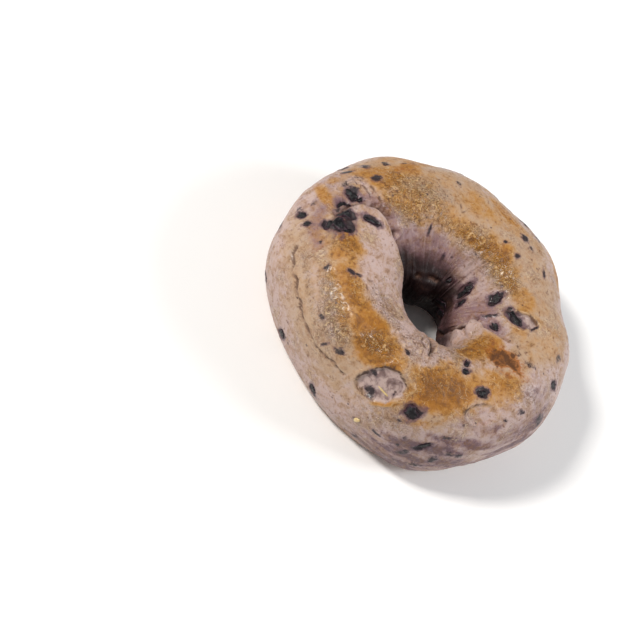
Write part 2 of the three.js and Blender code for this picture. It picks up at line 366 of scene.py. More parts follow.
SUNKEN_BERRIES = [oval(*row) for row in [
    (229, 85, 1.8, 0.9, 38, 0.9),
    (230, 92, 1.3, 0.6, 75, 0.9),
    (225, 60, 1.5, 0.9, -72, 0.7),
    (244, 38, 1.3, 0.8, 50, 0.6),
    (212, 57, 0.8, 0.7, 84, 0.8),
    (166, 65, 2.0, 1.7, -50, 0.8),
    (259, 33, 1.7, 1.2, 41, 0.7),
    (253, 25, 1.5, 0.6, 71, 0.8),
    (293, 31, 1.4, 0.8, 8, 0.7),
    (298, 18, 1.0, 0.9, 25, 0.7),
    (290, 3, 2.5, 0.8, 7, 0.8),
    (298, 6, 1.0, 1.2, 32, 0.7),
    (301, -1, 3.0, 1.3, 56, 0.6),
    (312, 32, 2.0, 0.9, 7, 0.7),
    (312, 3, 2.4, 1.4, 61, 0.7),
    (286, -32, 1.6, 2.2, 30, 0.7),
    (281, 94, 1.5, 1.0, -17, 0.6),
    (278, 29, 2.1, 1.6, -3, 0.7),
    (275, 46, 2.2, 1.3, -11, 0.7),
    (286, 45, 0.8, 0.7, 27, 0.7),
    (18, 133, 3.0, 0.8, -81, 0.7),
    (82, 95, 1.1, 0.9, 43, 0.8),
    (78, 73, 1.5, 1.6, 68, 0.8),
    (71, 75, 1.1, 1.4, 28, 0.6),
    (70, 95, 1.3, 1.0, 71, 0.8),
    (57, 70, 2.0, 0.7, -13, 0.9),
    (144, 118, 2.0, 0.6, 85, 0.9),
    (120, 140, 1.8, 0.8, 89, 0.9),
    (86, 157, 2.0, 0.9, 83, 0.9),
    (334, 49, 1.3, 0.7, -34, 0.7),
    (341, 52, 1.6, 0.8, -32, 0.6),
    (352, 30, 3.6, 2.4, 80, 0.6),
    (356, 82, 2.2, 1.5, -58, 0.4),
    (14, 58, 1.8, 1.6, -89, 0.6),
    (17, 94, 1.6, 0.6, -35, 0.9),
    (197, 31, 2.7, 1.1, 58, 0.5),
    (201, 9, 3.0, 1.4, 30, 0.8),
    (193, 41, 1.4, 1.1, -32, 0.5),
    (122, 66, 1.2, 1.2, 23, 0.6),
    (151, 95, 1.0, 0.9, -44, 0.5),
    (125, 37, 2.1, 1.1, -18, 0.7),
    (318, 14, 5.5, 1.2, -6, 0.5),
    (308, -13, 3.1, 1.2, 11, 0.5),
    (282, -3, 1.9, 1.3, 60, 0.75),
    (178, 58, 5.5, 4.0, 0, 0.35),
    (351, 155, 3.2, 1.0, 88, 0.85),
]]

# %% Baked colours that the photograph shows
GOLDEN_PATCHES = [oval(*row) for row in [
    (160, 62, 13.0, 6.5, -16, 0.8),
    (108, 84, 9.0, 5.0, 0, 0.55),
    (188, 44, 6.2, 1.9, 49, 0.7),
    (219, 75, 4.2, 4.0, 42, 0.85),
    (211, 81, 5.0, 3.5, 31, 0.9),
    (236, 79, 14.0, 5.0, -3, 0.85),
    (244, 79, 7.0, 4.0, 0, 1.0),
    (258, 75, 8.0, 5.0, 20, 1.05),
    (267, 68, 8.5, 4.6, 32, 1.1),
    (276, 66, 5.5, 3.2, 26, 1.0),
    (303, 75, 11.0, 6.8, 24, 1.25),
    (318, 87, 7.0, 4.5, 10, 0.7),
    (296, 55, 6.1, 2.1, 30, 0.8),
    (335, 122, 8.0, 5.2, -10, 0.9),
    (321, 90, 4.2, 3.0, -80, 0.7),
    (121, 107, 11.5, 4.3, -5, 0.6),
    (99, 111, 9.4, 2.9, 6, 0.9),
    (74, 106, 9.5, 4.2, -4, 0.95),
    (54, 110, 7.2, 2.2, 5, 0.7),
    (40, 104, 7.0, 3.2, 12, 0.6),
    (335, 85, 7.2, 3.6, -52, 0.55),
    (336, 79, 7.0, 5.0, 0, 0.85),
    (331, 70, 5.0, 4.0, 0, 0.5),
    (250, 80, 6.0, 4.5, 0, 0.95),
    (150, 42, 10.0, 4.0, 0, 0.55),
    (157, 98, 9.7, 5.0, -34, 0.6),
    (199, 74, 2.5, 1.3, 76, 0.9),
    (286, 35, 6.4, 0.8, 48, 0.8),
    (13, 107, 7.4, 2.3, 44, 0.45),
    (300, 38, 6.1, 1.7, 21, 0.5),
]]

WRINKLED_PATCHES = [oval(*row) for row in [
    (242, 54, 11.7, 3.6, -9, 1.0),
    (250, 44, 9.3, 4.5, 0, 1.0),
    (239, 85, 9.4, 2.7, -3, 0.5),
    (266, 71, 7.7, 4.5, 35, 1.0),
    (151, 91, 11.2, 7.2, -30, 1.0),
    (163, 101, 9.1, 3.9, -40, 1.0),
    (100, 113, 12.5, 4.2, 3, 0.8),
    (63, 113, 10.7, 4.0, 3, 0.9),
    (213, 82, 6.9, 3.8, 38, 0.6),
    (300, 87, 9.6, 6.4, 8, 0.6),
    (331, 125, 9.4, 6.2, -19, 0.6),
    (283, 104, 6.9, 6.4, -14, 0.6),
    (232, 36, 17.5, 2.0, -12, 0.45),
    (289, 22, 11.5, 4.6, 33, 0.5),
    (343, 70, 8.2, 3.3, -45, 0.5),
    (290, 114, 9.0, 4.0, 10, 0.8),
    (256, 108, 9.0, 4.0, 0, 0.8),
    (318, 128, 8.0, 4.0, 30, 0.8),
]]

TINTED_PATCHES = [oval(*row) for row in [
    (186, 36, 15.0, 9.0, 0, 0.85),
    (172, 86, 9.0, 5.0, 80, 0.8),
    (238, 49, 17.0, 6.0, 0, 0.5),
    (343, 56, 14.0, 9.0, 20, 0.85),
    (322, 44, 13.0, 5.0, 10, 0.8),
    (294, 28, 12.0, 5.0, 0, 0.6),
    (212, 10, 16.0, 5.0, 0, 0.7),
    (158, 104, 10.0, 4.0, 0, 0.6),
    (182, 82, 8.0, 6.0, 0, 0.8),
    (284, 14, 13.0, 5.0, 0, 0.6),
    (322, 56, 8.5, 6.0, 0, 0.9),
]]

SCORCHED_PATCHES = [oval(*row) for row in [
    (343, 107, 4.2, 2.8, 82, 1.0),
    (348, 97, 4.6, 2.0, 74, 1.25),
    (346, 102, 8.0, 3.6, -86, 0.6),
    (151, 61, 2.5, 1.9, -19, 0.45),
]]

CREASES = [
    (0.75, 0.48, [(213, 34), (216, 28), (221, 26), (225, 27), (228, 23), (231, 22), (236, 18)]),
    (0.65, 0.42, [(233, 23), (240, 19), (243, 19), (246, 16), (251, 15), (255, 17), (260, 20), (269, 21)]),
    (0.25, 0.30, [(231, 95), (234, 99), (238, 98), (241, 95)]),
    (0.30, 0.30, [(251, 86), (251, 96), (250, 105)]),
    (1.40, 0.75, [(290, 138), (293, 126), (294, 115), (293, 106)]),
    (0.45, 0.60, [(172, 68), (172, 76), (172, 82), (177, 92)]),
    (0.35, 0.50, [(175, 64), (176, 73), (178, 81)]),
    (0.20, 0.40, [(121, 92), (119, 98), (111, 92), (110, 85)]),
    (0.35, 0.40, [(29, 99), (24, 96), (19, 92)]),
    (0.30, 0.35, [(6, 104), (0, 100), (-2, 97), (-3, 94)]),
    (0.70, 0.80, [(156, 164), (149, 163), (139, 162), (122, 160), (108, 161)]),
    (1.50, 0.80, [(15, 200), (0, 178), (-7, 161), (-6, 148), (13, 145)]),
    (0.40, 0.40, [(286, 126), (285, 114), (288, 111)]),
    (0.20, 0.30, [(234, 90), (233, 98), (234, 105)]),
    (1.60, 0.75, [(204, 63), (197, 65), (191, 72), (187, 76), (182, 77), (179, 85), (178, 95), (177, 106),
                  (177, 120)]),
]
print(len(BERRIES), "berries and", len(SUNKEN_BERRIES), "sunken ones set by hand")

# %% [markdown]
# The rule for the rest: places follow two steady hops that never repeat, which spreads them evenly without
# rows, and sizes come from a seeded draw. Some berries stand proud and some lie under the skin.

# %% Marks on the sides that face away
BACK_MARKS = 46
RING_HOP = 0.618034
DOUGH_HOP = 0.754878
LOW_BERRIES = [(232, 172), (258, 190), (301, 178), (214, -22), (236, -30), (262, -26), (332, -24), (8, -12)]
BACK_GOLDEN = [(95, 62), (140, 48), (60, 40), (30, 30), (110, 15)]

draw = np.random.default_rng(7)
for i in range(BACK_MARKS):
    half = 1.0 + 2.0 * draw.random() ** 1.5
    mark = (25 + 150 * ((i * RING_HOP) % 1), -38 + 92 * ((i * DOUGH_HOP) % 1), half,
            half * (0.45 + 0.4 * draw.random()), 180 * draw.random())
    if i % 2:
        SUNKEN_BERRIES.append(oval(*mark, 0.5 + 0.4 * draw.random()))
    else:
        BERRIES.append(oval(*mark, 0.35))
for ring, dough in LOW_BERRIES:
    half = 1.3 + 1.2 * draw.random()
    BERRIES.append(oval(ring, dough, half, half * 0.6, 180 * draw.random(), 0.35))
for ring, dough in BACK_GOLDEN:
    GOLDEN_PATCHES.append(oval(ring, dough, 9.0, 3.5, 20 * draw.normal(), 0.5 + 0.4 * draw.random()))
print(len(BERRIES), "berries and", len(SUNKEN_BERRIES), "sunken ones in all")

# %% [markdown]
# ## Relief of the crust
#
# Boiled skin shrinks and folds as it bakes. The slow swells of the hand-shaped dough come first, then the
# seam of the tucked end, the burst blisters and knobs, the creases, the beds of the berries, the pull folds
# that run down into the hole, and the crumpling of the browned patches. A displacement modifier could push
# the surface about at random, but here each relief has its own place, so all of them are sums of arrays in
# millimetres along the normal.

# %% Relief of the dough and the seam
FURROW_DEPTH = 0.9
FURROW_HALF_WIDTH = 1.3
SEAM_STEP = 1.5
SEAM_REACH = 10.0


def swell(p):
    """Slow swells: three sines of slanting distances, each 0.3 to 0.42 mm high."""
    x, y, z = p[..., 0], p[..., 1], p[..., 2]
    return (0.42 * np.sin(x / 5.1 + z / 7.3 + 1.0) + 0.38 * np.sin(y / 4.6 - x / 8.9 + 2.2)
            + 0.30 * np.sin((x + y) / 6.4 - z / 4.9 + 4.1))


def seam_share(a, b):
    """Where the tucked end's seam can be seen: 1 over the top of the left side, 0 elsewhere."""
    return blend(np.cos(a), -0.55, -0.85) * blend(np.sin(b), 0.25, 0.7)


def seam_relief(a, b, p):
    """A furrow along the tucked end's edge; the end itself swells beside it and the dough under it dips."""
    d = inside_lap(p[..., 0], p[..., 1]) + 1.0 * (soft_noise(p, 4.0, 11) - 0.5)
    furrow = -FURROW_DEPTH * bell(d, FURROW_HALF_WIDTH)
    step = SEAM_STEP * np.tanh(d / LAP_SOFTNESS) * np.exp(-np.abs(d) / SEAM_REACH)
    return seam_share(a, b) * (furrow + step)


# %% Relief of blisters and knobs
RAGGEDNESS = 0.09
WALL_STARTS = 0.82
LIP_HEIGHT = 0.4
LIP_PLACE = 1.08
LIP_WIDTH = 0.09


def blister_reach(p, spot):
    """How far a point is from a blister in half sizes, with an outline more ragged the wider it is."""
    return reach_from(p, spot) + RAGGEDNESS * spot["half_width"] * (layered_noise(p, 3.6, 21) - 0.5)


def blister_relief(p):
    """A floor as deep as the blister's size, inside a steep wall with a raised lip. Below 0 it is a knob."""
    total = np.zeros(p.shape[:-1])
    for spot in BLISTERS:
        r = blister_reach(p, spot)
        total -= spot["size"] * (1 - blend(r, WALL_STARTS, 1.0))
        total += LIP_HEIGHT * spot["size"] * bell(r - LIP_PLACE, LIP_WIDTH)
    return total


# %% Relief of creases and round the berries
CREASE_LIP = 0.35
CREASE_LIP_PLACE = 2.2
BED_DEPTH = 0.4
TORN_RIM = 0.2
BURIED_RISE = 0.12


def wander(p):
    """Points shifted by up to a millimetre, which makes the lines between the creases' places wander."""
    return noise_shift(p, 3.4, 31, 1.8)


def crease_relief(p):
    """Each crease is a narrow groove, deepest on its line, between two lips a third as high."""
    total = np.zeros(p.shape[:-1])
    wandering = wander(p)
    for depth, half_width, places in CREASES:
        d = distance_to_line(wandering, places)
        total -= depth * bell(d, half_width)
        total += CREASE_LIP * depth * bell(d - CREASE_LIP_PLACE * half_width, half_width)
    return total


def berry_beds(p):
    """The skin tears open round a berry: a shallow bed under it and a low torn rim round it. A buried berry
    lifts the skin in proportion to its width."""
    total = np.zeros(p.shape[:-1])
    for spot in BERRIES:
        r = reach_from(p, spot)
        total -= BED_DEPTH * (1 - blend(r, 0.95, 1.25))
        total += TORN_RIM * bell(r - 1.4, 0.2)
    for spot in SUNKEN_BERRIES:
        total += BURIED_RISE * spot["half_width"] * (1 - blend(reach_from(p, spot), 0.3, 1.4))
    return total


# %% Relief of folds and wrinkles
STREAK_RADIUS = 30
STREAK_STRETCH = 0.16


def funnel_streaks(a, p, cell, seed):
    """Folds running down into the hole: crests of a field that changes fast round the ring, slowly down."""
    across, up = STREAK_RADIUS * np.stack([np.cos(a), np.sin(a)], -1), STREAK_STRETCH * p[..., 2:]
    return veins(np.concatenate([across, up], -1), cell, seed, 2) - 0.4


def pull_folds(a, b, p):
    """The folds of the funnel, wide ones under narrow ones, faint on the plump near arm."""
    where = blend(np.degrees(b), 98, 128) * blend(np.degrees(b), 200, 176)
    plump = plumpness(a, p[..., 0], p[..., 1])
    folds = 0.30 * funnel_streaks(a, p, 4.2, 51) + 0.20 * funnel_streaks(a, p, 1.6, 52)
    return where * (1 - 0.75 * plump) * folds


def crumple(p, wrinkled):
    """Crumpled skin: winding crests in cells of 1.7 mm over others in cells of 4.6 mm, faint all over the
    crust and strong where it is wrinkled."""
    bent = noise_shift(p, 3.1, 61, 1.6)
    fine = veins(bent, 1.7, 64, 2) - 0.4
    broad = veins(bent, 4.6, 65, 2) - 0.4
    return (0.06 + 0.30 * wrinkled) * fine + (0.12 + 0.28 * wrinkled) * broad


# %% The finished crust
RELIEF_STARTS = 0.2
RELIEF_FULL = 5


def crust(a, b):
    """The finished crust in mm, with its normals and how wrinkled it is. The relief fades out near the base,
    and the floor of a blister is smoother than the skin round it."""
    a, b = np.broadcast_arrays(a, b)
    p = dough_surface(a, b)
    _, _, out = directions(a, b)
    wrinkled = share_of(p, WRINKLED_PATCHES, 1.1, 43)
    lumps = 0.55 * (layered_noise(p, 9.0, 71) - 0.5) + 0.25 * (layered_noise(p, 3.4, 72, 2) - 0.5)
    smooth = np.max([1 - blend(reach_from(p, spot), 0.8, 1.05) for spot in BLISTERS], axis=0)
    relief = swell(p) + seam_relief(a, b, p) + crease_relief(p) + berry_beds(p) + lumps
    relief += (1 - 0.7 * smooth) * (crumple(p, wrinkled) + pull_folds(a, b, p)) + blister_relief(p)
    p = p + out * (relief * blend(p[..., 2], RELIEF_STARTS, RELIEF_FULL))[..., None]
    p[..., 2] = np.maximum(p[..., 2], 0)
    return p, out, wrinkled


# %% [markdown]
# ## The crust as a mesh
#
# The two angles run over a grid that closes on itself both ways, so the ring is one closed skin with no seam
# and no pole. The steps round the dough crowd together on top, where the detail is, and spread out below.
# Its box is set over the solid's box, which puts the crust where the solid is.

# %% Crust grid
RING_STEPS = 452
DOUGH_STEPS = 214
TOP_CROWDING = 0.34

ring_angles = np.arange(RING_STEPS) / RING_STEPS * 2 * np.pi
even_angles = np.arange(DOUGH_STEPS) / DOUGH_STEPS * 2 * np.pi
dough_angles = even_angles + TOP_CROWDING * np.cos(even_angles)
A, B = (grid.ravel() for grid in np.meshgrid(ring_angles, dough_angles, indexing="ij"))
crust_points, _, wrinkled = crust(A, B)

crust_low, crust_high = crust_points.min(0), crust_points.max(0)
to_solid = (solid_low + solid_high) / 2 - (crust_low + crust_high) / 2
to_solid[2] = 0
print("crust box in mm", np.round(crust_high - crust_low, 2), "moved by", np.round(to_solid, 2))


def closed_grid_faces(steps_u, steps_v):
    """Four corners of each cell of a grid whose last row and last column join its first."""
    u, v = np.meshgrid(np.arange(steps_u), np.arange(steps_v), indexing="ij")
    next_u, next_v = (u + 1) % steps_u, (v + 1) % steps_v
    corners = [u * steps_v + v, next_u * steps_v + v, next_u * steps_v + next_v, u * steps_v + next_v]
    return np.stack(corners, -1).reshape(-1, 4)


def make_piece(name, points_mm, faces, material, fields=None):
    """A smooth mesh object at the origin from points in mm, faces, and fields of numbers on its points."""
    mesh = bpy.data.meshes.new(name)
    mesh.vertices.add(len(points_mm))
    mesh.vertices.foreach_set("co", (points_mm * MM).astype(np.float32).ravel())
    mesh.loops.add(faces.size)
    mesh.loops.foreach_set("vertex_index", faces.astype(np.int32).ravel())
    mesh.polygons.add(len(faces))
    mesh.polygons.foreach_set("loop_start", np.arange(0, faces.size, faces.shape[1], dtype=np.int32))
    mesh.update(calc_edges=True)
    mesh.polygons.foreach_set("use_smooth", np.ones(len(faces), bool))
    for field, values in (fields or {}).items():
        attribute = mesh.attributes.new(field, "FLOAT", "POINT")
        attribute.data.foreach_set("value", values.astype(np.float32).ravel())
    mesh.materials.append(material)
    piece = bpy.data.objects.new(name, mesh)
    bpy.context.scene.collection.objects.link(piece)
    print(name, len(points_mm), "points,", len(faces), "faces")
    return piece


# %% [markdown]
# ## Where the colours lie
#
# The colours follow the baking and the juice, so they are worked out on the grid as shares from 0 to 1 and
# kept as named numbers on the mesh. The oven reaches a belt along the top of the ring, and that belt is warm.
# Its lower edge rises and falls round the ring, as (ring, dough) in degrees. Below it and inside it the dough
# is paler and cooler, mauve where juice ran, and marbled on the near side, where it is also darkened as
# painted shade on the side turned away from the light. The deep wall of the hole is painted dark as shade,
# with some juice stain. Golden and scorched patches lie in the belt, and the juice of each berry stains a
# halo round it.
# The base, which lay on the tray, is plain with browned flecks.

# %% Baking
LOW_EDGE = [(0, 56), (20, 50), (45, 44), (70, 52), (100, 46), (125, 40), (150, 28), (170, 20), (190, 20),
            (210, 5), (230, -6), (260, -8), (275, 2), (290, 14), (300, 24), (315, 40), (330, 50), (345, 60),
            (360, 56)]

base_points = dough_surface(A, B)
dough_degrees = (np.degrees(B) + 90) % 360 - 90
cloud = layered_noise(base_points, 7.0, 81, 4)
mottle = layered_noise(base_points, 2.4, 82, 3)
plump = plumpness(A, base_points[:, 0], base_points[:, 1])

# The clouds move the belt's edges by up to 17 degrees either way, and the finer mottle by up to 7.
warped_degrees = dough_degrees + 34 * (cloud - 0.5) + 14 * (mottle - 0.5)
inner_edge = wave(A, 104, (1, 15, 75))
low_edge = np.interp(np.degrees(A), *zip(*LOW_EDGE))
over_low_edge = blend(warped_degrees, low_edge - 14, low_edge + 22)
outside_hole = blend(warped_degrees, inner_edge + 14, inner_edge - 12)
tinted = share_of(base_points, TINTED_PATCHES, 1.4, 42)
warm = over_low_edge * outside_hole * (1 - 0.85 * tinted)
# Gold lies in its patches, and faintly along the crest where the clouds are dense. Under gold it is warm.
golden = share_of(base_points, GOLDEN_PATCHES, 1.5, 41)
golden = np.maximum(golden, 0.32 * warm * bell(dough_degrees - 78, 40) * blend(cloud, 0.42, 0.64))
warm = np.maximum(warm, np.clip(1.4 * golden, 0, 0.9))
underside = blend(base_points[:, 2], 4.0, 0.2)
golden = np.maximum(golden, 0.45 * underside * blend(mottle, 0.3, 0.7))
scorched = share_of(base_points, SCORCHED_PATCHES, 2.0, 44, cell=2.4)

# %% Juice and painted shade
NEAR_SIDE = math.radians(320)
TAUT_SIDE = math.radians(68)
DARK_WALL = math.radians(120)
STAIN_DEPTH = 3.0

# The funnel is mauve in streaks, less so where the skin is stretched taut. The low side is mauve and marbled,
# most of all on the near side, and darkened there as painted shade on the side turned away from the light.
funnel = blend(warped_degrees, inner_edge - 4, inner_edge + 18) * (1 - plump) * (1 - underside)
streaks = 0.6 * funnel_streaks(A, base_points, 2.3, 83) + 0.7 * funnel_streaks(A, base_points, 0.9, 84)
along_ring = np.stack([24 * np.cos(A), 24 * np.sin(A), 0.6 * dough_degrees], -1)
marbling = layered_noise(noise_shift(along_ring, 6.0, 85, 5.0), 4.4, 88, 4)
low_side = (1 - underside) * blend(warped_degrees, low_edge + 8, low_edge - 14)
near_side = blend(np.cos(A - NEAR_SIDE), 0.66, 0.94)
taut_side = blend(np.cos(A - TAUT_SIDE), 0.80, 0.98)
mauve = funnel * (0.88 + 0.4 * streaks) * (1 - 0.6 * taut_side)
mauve += low_side * (0.15 + 0.70 * near_side) * blend(marbling, 0.20, 0.60)
mauve = np.maximum(mauve, 0.55 * tinted * blend(marbling, 0.36, 0.66))
# The wall of the hole is painted dark from an angle on that varies round the ring, most of all under the
# far arm: painted shade where the hole is deep and the tucked end shadows it, with some juice stain.
hole_start = wave(A, 151, (1, 17, 350))
hole_wall = blend(dough_degrees + 24 * (cloud - 0.5), hole_start - 16, hole_start + 30)
hole_shade_and_stain = hole_wall * (1 - plump) * blend(np.cos(A - DARK_WALL), -0.2, 0.45)
hole_shade_and_stain = (1 - underside) * np.maximum(hole_shade_and_stain, 0.55 * blend(dough_degrees, 150, 180))

# A wide halo of thin juice lies round each berry, and a dark stain under it or over it.
halo, stain = np.zeros(len(A)), np.zeros(len(A))
for spot in BERRIES:
    r = reach_from(base_points, spot, STAIN_DEPTH) + 2.0 * (mottle - 0.5)
    halo = np.maximum(halo, min(1.0, 0.5 + 0.25 * spot["half_length"]) * (1 - blend(r, 0.9, 2.2)))
    stain = np.maximum(stain, 1 - blend(r, 0.80, 1.25))
for spot in SUNKEN_BERRIES:
    r = reach_from(base_points, spot, STAIN_DEPTH) + 1.3 * (mottle - 0.5)
    stain = np.maximum(stain, spot["size"] * (1 - blend(r, 0.35, 1.15)))
    halo = np.maximum(halo, 0.8 * spot["size"] * (1 - blend(r, 0.8, 1.7)))

# %% Creases, blisters and the seam
RIM_MM = 0.4

seam_distance = inside_lap(base_points[:, 0], base_points[:, 1])
# Painted shade on the dough just outside the tucked end's edge goes into the mauve share.
shade_beside_seam = 0.8 * bell(seam_distance + 3.4, 2.4) * seam_share(A, B)
mauve = np.maximum(mauve, shade_beside_seam)

# Creases are painted dark along their lines: painted shade in the grooves.
groove = np.zeros(len(A))
wandering_points = wander(base_points)
for depth, half_width, places in CREASES:
    line = bell(distance_to_line(wandering_points, places), 0.75 * half_width)
    groove = np.maximum(groove, min(1, 0.4 + 0.8 * depth) * line)

# A burst blister has a thin dark rim, scorched all round and darkest on its upper side as painted shadow
# under its torn edge, and a pale lip on its lower side, its own pale colour with painted highlight.
rim, lip, floor_share = np.zeros(len(A)), np.zeros(len(A)), np.zeros(len(A))
for spot in BLISTERS:
    r = blister_reach(base_points, spot)
    upper = blend((base_points - spot["middle"]) @ spot["upper"], -4, 5)
    rim_width = RIM_MM / spot["half_width"]
    boldness = min(1, spot["size"])
    rim = np.maximum(rim, boldness * (0.30 + 0.70 * upper) * bell(r - 0.96, rim_width))
    lip = np.maximum(lip, boldness * (1 - 0.7 * upper) * bell(r - 1.12, rim_width))
    floor_share = np.maximum(floor_share, blend(spot["size"], 0.45, 1.0) * (1 - blend(r, 0.80, 1.0)))

crust_shares = {
    "warm": warm, "golden": golden * (1 - floor_share), "scorched": scorched, "mauve": np.clip(mauve, 0, 1),
    "streaks": funnel * streaks, "hole_shade_and_stain": hole_shade_and_stain, "juice": halo, "stain": stain, "groove": groove,
    "rim": rim, "lip": lip, "blister_floor": floor_share, "wrinkled": wrinkled * (1 - floor_share),
    "marbling": low_side * near_side * blend(marbling, 0.40, 0.70),
}
for field, values in crust_shares.items():
    print(field, "covers", round(float(values.mean()), 3))

# %% [markdown]
# ## Materials from what things are
#
# One small function adds a node with its settings and links, and another turns a hex colour, as a screen
# shows it, into the linear numbers that the renderer works with. Fields of noise are set by the size of what
# they stand for, in millimetres.

# %% Node helper and colours
def colour(hex_text):
    """sRGB hex to linear red, green, blue and 1: each share to the power 2.4 after its offset, or divided by
    12.92 where it is dark."""
    shares = [int(hex_text[i:i + 2], 16) / 255 for i in (1, 3, 5)]
    return [s / 12.92 if s <= 0.04045 else ((s + 0.055) / 1.055) ** 2.4 for s in shares] + [1.0]


def add(material, kind, settings, inputs):
    """Adds a node of a kind, sets its properties and sets or links its inputs, by name or number."""
    node = material.node_tree.nodes.new(kind)
    for name, value in settings.items():
        setattr(node, name, value)
    for name, value in inputs.items():
        if isinstance(value, bpy.types.NodeSocket):
            material.node_tree.links.new(value, node.inputs[name])
        else:
            node.inputs[name].default_value = value
    return node


def per_mm(size_mm):
    """A noise scale whose features measure about size_mm, for coordinates in metres."""
    return 1 / (size_mm * MM)


def empty_material(name):
    """A node material with nothing in it yet."""
    material = bpy.data.materials.new(name)
    material.use_nodes = True
    material.node_tree.nodes.clear()
    return material


# %% [markdown]
# ## Boiled and baked crust
#
# Dough skin that was boiled has gelled starch on it, so it dries to a thin, satin varnish over soft crumb.
# Its gloss is uneven: tight and shiny where it is browned, duller where it is pale. Pores and flour grains
# mottle it at half a millimetre, and the browned skin shrinks into winding wrinkles a millimetre or so apart.
# Their crests are painted pale as painted highlight and their furrows brown as painted shade, and pale specks
# on the wrinkled skin are painted glints. Here and there a dark or a pale line as thin as a hair winds over
# it. The skin's index of refraction is that of dried starch and fat.

# %% Crust patterns
crust_skin = empty_material("boiled_baked_crust")
place = add(crust_skin, "ShaderNodeTexCoord", {}, {}).outputs["Object"]

patterns = {}
for name, size_mm, detail, roughness, distortion in [
    ("clouds", 9.0, 3.0, 0.60, 0.0),
    ("patches", 3.0, 5.0, 0.70, 0.5),
    ("grain", 1.4, 5.0, 0.70, 0.4),
    ("pores", 0.6, 3.0, 0.70, 0.0),
    ("wrinkles", 1.9, 3.0, 0.60, 0.9),
    ("hairs", 3.6, 4.0, 0.60, 1.2),
]:
    patterns[name] = add(crust_skin, "ShaderNodeTexNoise", {}, {
        "Vector": place, "Scale": per_mm(size_mm), "Detail": detail, "Roughness": roughness,
        "Distortion": distortion}).outputs["Fac"]

shares = {name: add(crust_skin, "ShaderNodeAttribute", {"attribute_name": name}, {}).outputs["Fac"]
          for name in crust_shares}

# A winding line is where a noise crosses one value: furrows and fine lines are on it, and crests far from it.
for name, pattern, value, low, high, where in [
    ("furrows", "wrinkles", 0.50, 0.055, 0.0, shares["wrinkled"]),
    ("crests", "wrinkles", 0.50, 0.05, 0.15, shares["wrinkled"]),
    ("dark_hairs", "hairs", 0.49, 0.016, 0.0, 1.0),
    ("pale_hairs", "hairs", 0.53, 0.016, 0.0, 1.0),
]:
    off_line = add(crust_skin, "ShaderNodeMath", {"operation": "SUBTRACT"}, {
        0: patterns[pattern], 1: value}).outputs[0]
    off_line = add(crust_skin, "ShaderNodeMath", {"operation": "ABSOLUTE"}, {0: off_line}).outputs[0]
    line = add(crust_skin, "ShaderNodeMapRange", {"interpolation_type": "SMOOTHSTEP"}, {
        "Value": off_line, "From Min": low, "From Max": high}).outputs["Result"]
    shares[name] = add(crust_skin, "ShaderNodeMath", {"operation": "MULTIPLY"}, {
        0: line, 1: where}).outputs[0]
shares["cool_clouds"] = patterns["clouds"]
shares["light_grain"] = patterns["grain"]
shares["dark_grain"] = add(crust_skin, "ShaderNodeMath", {"operation": "SUBTRACT"}, {
    0: 1.0, 1: patterns["grain"]}).outputs[0]

# Specks of berry skin: a few random cells each hold one dot, up to half a millimetre across.
SPECK_CELL_MM = 2.4
specks = add(crust_skin, "ShaderNodeTexVoronoi", {"feature": "F1"}, {
    "Vector": place, "Scale": per_mm(SPECK_CELL_MM)})
speck_draw = add(crust_skin, "ShaderNodeSeparateColor", {}, {"Color": specks.outputs["Color"]}).outputs[0]
speck_size = add(crust_skin, "ShaderNodeMapRange", {}, {
    "Value": speck_draw, "From Min": 0.72, "From Max": 1.0, "To Max": 0.24}).outputs["Result"]
shares["specks"] = add(crust_skin, "ShaderNodeMath", {"operation": "SUBTRACT"}, {
    0: speck_size, 1: specks.outputs["Distance"]}).outputs[0]

# %% [markdown]
# The colours are laid one over another, as a painter would: each layer has a share, a pattern that breaks its
# edge up and by how much, the range in which it comes in, its strength and its colour.

